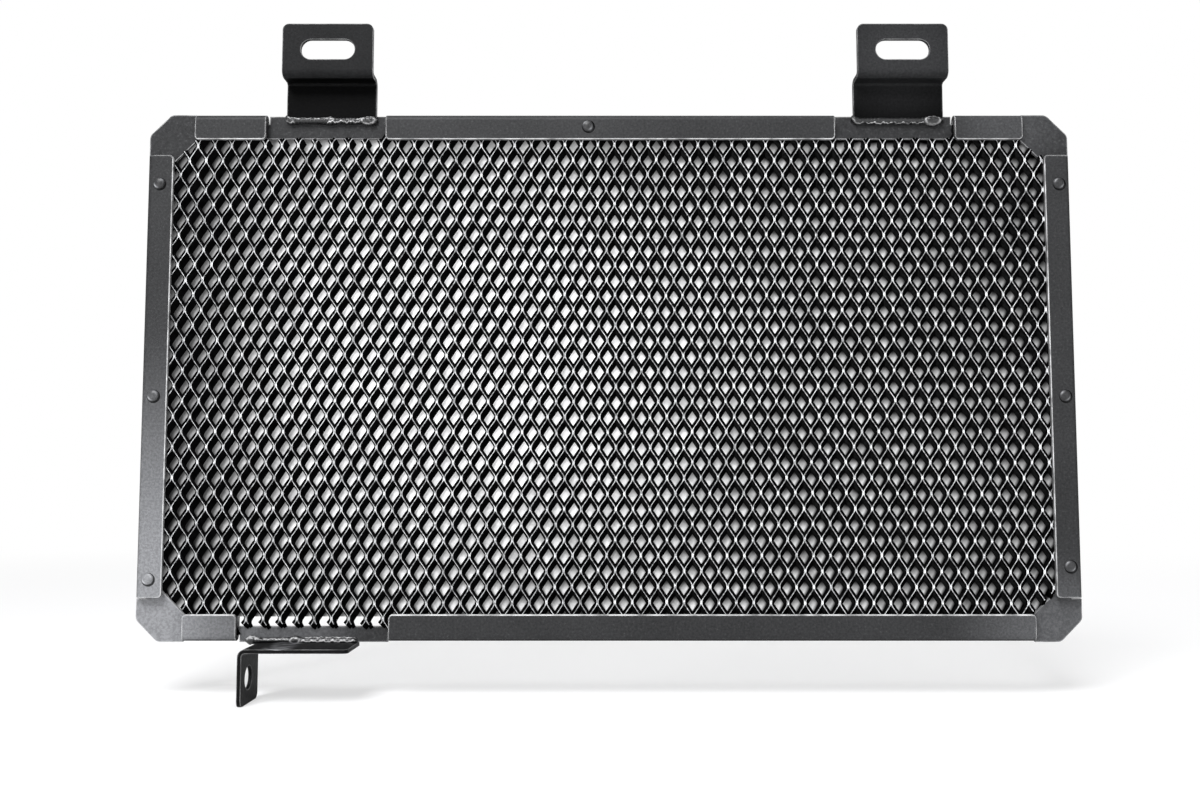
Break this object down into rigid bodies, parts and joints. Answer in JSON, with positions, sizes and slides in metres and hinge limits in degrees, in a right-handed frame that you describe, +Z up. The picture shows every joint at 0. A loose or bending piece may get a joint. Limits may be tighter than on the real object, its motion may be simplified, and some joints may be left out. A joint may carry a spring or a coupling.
{
  "type": "motorcycle radiator guard",
  "caption": "Flat motorcycle radiator guard: a folded sheet frame round a raised expanded-metal panel, with slotted brackets above and a drop bracket below for bolting it on.",
  "frame": {"origin": "midway between the two upper slots, on the rear face of their plates, which is the face that is bolted on", "axes": "+X to the right as seen from behind the guard, +Y towards the front wheel, +Z up"},
  "size_m": [0.3512, 0.0202, 0.2519],
  "materials": {
    "frame_black": "satin powder coat",
    "mesh_black": "satin powder coat, worn bright on the strand edges",
    "bracket_black": "satin powder coat",
    "weld_black": "gloss powder coat over a lumpy weld bead"
  },
  "bodies": {
    "root": {"folded_frame": "frame_black", "expanded_mesh": "mesh_black", "upper_left_bracket": "bracket_black", "upper_right_bracket": "bracket_black", "lower_bracket": "bracket_black", "upper_left_weld": "weld_black", "upper_right_weld": "weld_black", "lower_weld": "weld_black", "rivets": "frame_black"}
  },
  "joints": []
}
